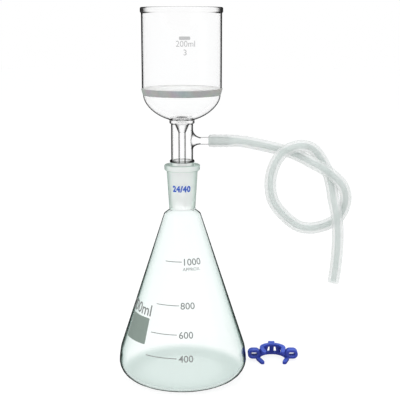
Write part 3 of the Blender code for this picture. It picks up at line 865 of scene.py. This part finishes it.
# ---- the tubing ------------------------------------------------------------------------------
def smooth_route(route, spacing):
    """Points at an even spacing along a smooth curve through a route's points."""
    knots = [Vector(point) for point in route]
    knots = [knots[0] * 2 - knots[1]] + knots + [knots[-1] * 2 - knots[-2]]
    fine = []
    for before, start, end, after in zip(knots, knots[1:], knots[2:], knots[3:]):
        for step in range(20):
            t = step / 20
            bend = (before * 2 - start * 5 + end * 4 - after) * t * t
            twist = (start * 3 - before - end * 3 + after) * t * t * t
            fine.append((start * 2 + (end - before) * t + bend + twist) / 2)
    fine.append(knots[-2])
    length = sum((b - a).length for a, b in zip(fine, fine[1:]))
    count = round(length / spacing)
    even = [fine[0]]
    travelled = 0.0
    for a, b in zip(fine, fine[1:]):
        step = (b - a).length
        while len(even) < count and travelled + step >= len(even) * length / count:
            share = (len(even) * length / count - travelled) / step
            even.append(a.lerp(b, share))
        travelled += step
    return even + [fine[-1]]


def stretched_radius(x, plain, wide):
    """The tube's radius near its start, where it is stretched over the ridges."""
    if x > SLEEVE_END + 0.006:
        return plain
    blend = min(1.0, max(0.0, (x - ARM_TIP_X + 0.002) / 0.010))
    blend = blend * blend * (3 - 2 * blend)
    ripple = 0.00012 * math.cos(2 * math.pi * (FIRST_RIDGE_X - x) / RIDGE_PITCH) * (1 - blend)
    return wide + (plain - wide) * blend + ripple


def sweep_frames(path):
    """A pair of cross directions for each point of a path, turning as little as they can."""
    side = Vector((0, 1, 0))
    frames = []
    for index in range(len(path)):
        ahead = path[min(index + 1, len(path) - 1)] - path[max(index - 1, 0)]
        ahead.normalize()
        side = (side - ahead * side.dot(ahead)).normalized()
        frames.append((side, ahead.cross(side)))
    return frames


def tube_skin(shape, path, outer):
    """Sweeps the tubing's outside or its bore along a path; gives its rings."""
    plain, wide = (TUBE_R, SLEEVE_R - 0.00015) if outer else (TUBE_BORE_R, ARM_R + 0.0004)
    radii = [stretched_radius(place.x, plain, wide) for place in path]
    if outer:
        for index, less in enumerate(START_ROUNDING):
            radii[index] -= less
        radii[-1] -= END_ROUNDING
    rings = []
    for place, radius, (side, up) in zip(path, radii, sweep_frames(path)):
        ring = []
        for turn in range(TUBE_SIDES):
            angle = 2 * math.pi * turn / TUBE_SIDES
            out = side * math.cos(angle) + up * math.sin(angle)
            ring.append(shape.verts.new(place + out * radius))
        rings.append(ring)
    for near, far in zip(rings, rings[1:]):
        for face in join_rings(shape, near, far):
            face.material_index = 0 if outer else 1
    return rings


def build_tubing():
    start = [Vector((SLEEVE_START + distance, 0, ARM_Z)) for distance in (0, 0.0004)]
    start += [Vector((SLEEVE_START + 0.0012 * step, 0, ARM_Z)) for step in range(1, 18)]
    path = start + smooth_route(TUBE_ROUTE, 0.0020)
    shape = bmesh.new()
    outside = tube_skin(shape, path, True)
    bore = tube_skin(shape, path, False)
    for end in (0, -1):
        join_rings(shape, outside[end], bore[end])
    outer_skin = milky_skin("tubing_outside", (0.76, 0.775, 0.765),
                            greys((0.0, 0.42), (0.50, 0.42), (0.8, 0.40), (1.0, 0.36)), 0.30)
    # Painted shade: the bore's skin is a darker copy of the tube's own, for the dim inside of the
    # tube seen through its milky wall.
    bore_skin = milky_skin("tubing_bore", (0.40, 0.50, 0.465),
                           greys((0.0, 0.45), (0.60, 0.52), (0.90, 0.74), (1.0, 0.80)), 0.0)
    tube = finish_mesh("tubing", shape, outer_skin, sharp=50)
    tube.data.materials.append(bore_skin)
    place_piece(tube, "tubing", "milky_tubing", "vacuum_tubing", "tubing_sleeve")


# ---- printed marks ---------------------------------------------------------------------------
def slice_along_x(shape, low, high, step=0.0010):
    """Cuts a flat mesh into strips, so that it can bend round the glass."""
    x = low + step
    while x < high:
        geometry = shape.verts[:] + shape.edges[:] + shape.faces[:]
        bmesh.ops.bisect_plane(shape, geom=geometry, plane_co=(x, 0, 0), plane_no=(1, 0, 0))
        x += step


def wrap_print(name, shape, azimuth, height, radius_at, material, body):
    """Bends a flat print round the glass, with its middle at an azimuth in degrees and a height."""
    slope = (radius_at(height + 0.001) - radius_at(height - 0.001)) / 0.002
    lean = math.atan(slope)
    xs = [vert.co.x for vert in shape.verts]
    slice_along_x(shape, min(xs), max(xs))
    bmesh.ops.remove_doubles(shape, verts=shape.verts, dist=0.000001)
    for vert in shape.verts:
        z = height + vert.co.y * math.cos(lean)
        radius = radius_at(z) + PRINT_LIFT
        angle = math.radians(azimuth) + vert.co.x / radius_at(height)
        vert.co = (radius * math.sin(angle), -radius * math.cos(angle), z)
    for face in shape.faces:
        if face.calc_center_median().xy.dot(face.normal.xy) < 0:
            face.normal_flip()
    mesh = bpy.data.meshes.new(name)
    shape.normal_update()
    shape.to_mesh(mesh)
    shape.free()
    mesh.materials.append(material)
    obj = bpy.data.objects.new(name, mesh)
    bpy.context.scene.collection.objects.link(obj)
    solid = obj.modifiers.new("thickness", "SOLIDIFY")
    solid.thickness = PRINT_THICK
    solid.offset = 1.0
    apply_modifiers(obj)
    obj.data.shade_smooth()
    obj.data.set_sharp_from_angle(angle=math.radians(30))
    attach(obj, body)


def text_shape(words, height, bold=0.0, width=1.0, spacing=1.0):
    """The flat outline of some words, with capitals of a given height."""
    curve = bpy.data.curves.new("words", "FONT")
    curve.body = words
    curve.offset = bold
    curve.align_x = "CENTER"
    curve.align_y = "CENTER"
    curve.resolution_u = 3
    curve.space_character = spacing
    source = bpy.data.objects.new("words", curve)
    bpy.context.scene.collection.objects.link(source)
    bpy.context.view_layer.update()
    evaluated = source.evaluated_get(bpy.context.evaluated_depsgraph_get())
    mesh = bpy.data.meshes.new_from_object(evaluated)
    bpy.data.objects.remove(source, do_unlink=True)
    shape = bmesh.new()
    shape.from_mesh(mesh)
    scale = height / CAPITAL_HEIGHT
    bmesh.ops.scale(shape, verts=shape.verts, vec=(scale * width, scale, 1))
    return shape


def bar_shape(width, height, corner=0.0):
    """A flat bar, with rounded corners if corner is above 0, centred on the origin."""
    shape = bmesh.new()
    points = []
    for x_side, y_side, start in ((1, -1, -90), (1, 1, 0), (-1, 1, 90), (-1, -1, 180)):
        steps = 5 if corner else 0
        for step in range(steps + 1):
            angle = math.radians(start + (90 * step / steps if steps else 0))
            points.append((x_side * (width / 2 - corner) + corner * math.cos(angle),
                           y_side * (height / 2 - corner) + corner * math.sin(angle), 0))
    shape.faces.new([shape.verts.new(point) for point in points])
    return shape


def build_flask_prints():
    grey = printed_enamel("print_grey", (0.19, 0.20, 0.195))
    patch_color = printed_enamel("print_patch", (0.185, 0.235, 0.205))

    def mark(name, shape, azimuth, z, color=grey):
        wrap_print(name, shape, azimuth, z, flask_radius, color, "flask")

    # number, height of its line, azimuths of the line's ends and the number's middle
    scale = (("1000", 0.1276, -29.9, 0.0, 17.3), ("800", 0.0869, -33.0, -3.2, 7.2),
             ("600", 0.0600, -34.0, -5.0, 4.4), ("400", 0.0383, -35.3, -4.8, 4.0))
    for number, z, first, last, middle in scale:
        width = math.radians(last - first) * flask_radius(z)
        mark("line_" + number, bar_shape(width, 0.0008), (first + last) / 2, z)
        mark("scale_" + number, text_shape(number, 0.0069, 0.010, 1.02), middle, z - 0.0006)
    mark("scale_approx", text_shape("APPROX.", 0.0033, 0.006, 1.0), 16.5, 0.1204)
    mark("volume_1000ml", text_shape("1000ml", 0.0112, 0.014), -64.8, 0.0784)
    mark("writing_patch", bar_shape(0.0312, 0.0260, 0.0012), -55.5, 0.0595, patch_color)


def build_funnel_prints():
    pale = printed_enamel("print_pale_grey", (0.42, 0.42, 0.42))

    def on_bowl(z):
        return BOWL_R

    def mark(name, shape, azimuth, z):
        wrap_print(name, shape, azimuth, z, on_bowl, pale, "funnel")

    mark("bowl_bar", bar_shape(0.0105, 0.0032, 0.0009), 5.2, 0.3442)
    mark("bowl_volume", text_shape("200ml", 0.0058, 0.006, 0.95), 6.6, 0.3388)
    mark("bowl_grade", text_shape("3", 0.0056, 0.010), 5.8, 0.3308)


def build_neck_print():
    blue = printed_enamel("print_blue", (0.000, 0.070, 0.46))

    def on_neck(z):
        share = (z - SOCKET_LOW) / (SOCKET_TOP - 0.0058 - SOCKET_LOW)
        return NECK_R + (SOCKET_SHOULDER_R - NECK_R) * share + 0.00002

    words = text_shape("24/40", 0.0060, 0.052, 0.88, 1.12)
    wrap_print("joint_size", words, -1.8, 0.1967, on_neck, blue, "flask")


# ---- the joint clip --------------------------------------------------------------------------
def arc(radius, start, end, steps, centre=(0, 0)):
    """Points on a circle between two angles in degrees."""
    points = []
    for step in range(steps + 1):
        angle = math.radians(start + (end - start) * step / steps)
        points.append((centre[0] + radius * math.cos(angle), centre[1] + radius * math.sin(angle)))
    return points


def slab(outline, low, high, hole=()):
    """A flat outline made into a solid between two heights, with an optional hole."""
    shape = bmesh.new()
    loops = []
    for points in (outline, hole):
        for z in (low, high):
            loops.append([shape.verts.new((x, y, z)) for x, y in points])
    outer_low, outer_high, hole_low, hole_high = loops
    join_rings(shape, outer_low, outer_high)
    join_rings(shape, hole_low, hole_high)
    if hole:
        join_rings(shape, outer_low, hole_low)
        join_rings(shape, outer_high, hole_high)
    else:
        shape.faces.new(outer_low)
        shape.faces.new(outer_high)
    return shape


def clip_fork(outer, inner, reach, tip_x, low):
    """A C-shaped plate: a half ring with two prongs that close in, open towards -Y."""
    tip = CLIP_PRONG_TIP_R
    outline = (arc(outer, -15, 195, 56) + arc(tip, 190, 350, 14, (-tip_x, -reach))
               + arc(inner, 205, -25, 48) + arc(tip, 190, 350, 14, (tip_x, -reach)))
    return slab(outline, low, low + CLIP_PLATE)


def clip_ear(side):
    """A springy loop on one side that ties the two plates together."""
    middle_x = 0.02025
    half_depth = 0.00425
    half_width = 0.00675
    end_r = 0.0050

    def stadium(shrink):
        radius = end_r - shrink
        centre = half_width - end_r
        return arc(radius, -90, 90, 20, (centre, 0)) + arc(radius, 90, 270, 20, (-centre, 0))

    shape = slab(stadium(0), -half_depth, half_depth, stadium(CLIP_EAR_WALL))
    turn = Matrix.Rotation(math.pi / 2, 4, "X")
    move = Matrix.Translation((side * middle_x, -0.001, 0.0072))
    bmesh.ops.transform(shape, matrix=move @ turn, verts=shape.verts)
    return shape


def clip_finger(angle):
    """An upright finger between the plates; it leans out to the wider lower plate."""
    out = Vector((math.cos(math.radians(angle)), math.sin(math.radians(angle)), 0))
    top = out * 0.01175 + Vector((0, 0, 0.0120))
    foot = out * 0.01575 + Vector((0, 0, 0.0015))
    lean = (top - foot).to_track_quat("Z", "Y").to_matrix().to_4x4()
    shape = bmesh.new()
    bmesh.ops.create_cone(shape, cap_ends=True, segments=20, radius1=CLIP_FINGER_R,
                          radius2=CLIP_FINGER_R, depth=(top - foot).length)
    bmesh.ops.transform(shape, matrix=Matrix.Translation((top + foot) / 2) @ lean,
                        verts=shape.verts)
    return shape


def build_clip():
    """One moulding: forked plates, fingers between them, a tab behind and an ear each side."""
    material = blue_plastic()
    half_tab = 0.00345
    tab = [(-half_tab, 0.0105), (half_tab, 0.0105),
           (half_tab, CLIP_TAB_BACK), (-half_tab, CLIP_TAB_BACK)]
    shapes = [
        clip_fork(outer=0.0140, inner=0.0095, reach=0.0120, tip_x=0.0098, low=0.0105),
        clip_fork(outer=0.0180, inner=0.0135, reach=0.0135, tip_x=0.0118, low=0.0),
        slab(tab, 0.0109, 0.0131), clip_ear(-1), clip_ear(1),
    ]
    shapes += [clip_finger(angle) for angle in (30, 60, 90, 120, 150)]
    pieces = [finish_mesh("clip_piece", shape, material) for shape in shapes]
    together = bmesh.new()
    for piece in pieces:
        together.from_mesh(piece.data)
        bpy.data.objects.remove(piece, do_unlink=True)
    clip = finish_mesh("joint_clip_moulding", together, material)
    mould = clip.modifiers.new("mould", "REMESH")
    mould.mode = "VOXEL"
    mould.voxel_size = 0.00030
    soften = clip.modifiers.new("soften", "SMOOTH")
    soften.factor = 0.5
    soften.iterations = 4
    thin_out = clip.modifiers.new("thin_out", "DECIMATE")
    thin_out.ratio = 0.35
    apply_modifiers(clip)
    clip.data.transform(Matrix.Translation((CLIP_MIDDLE_X, CLIP_MIDDLE_Y, 0)))
    clip.data.shade_smooth()
    place_piece(clip, "clip", "blue_plastic", "joint_clip")


build_camera()
build_world()
build_lights()
build_floor()
set_render_looks()
build_tubing()
build_flask()
build_socket()
build_bowl()
build_disc()
build_dome()
build_jacket()
build_drip_tube()
build_cone()
build_side_arm()
build_flask_prints()
build_funnel_prints()
build_neck_print()
build_clip()
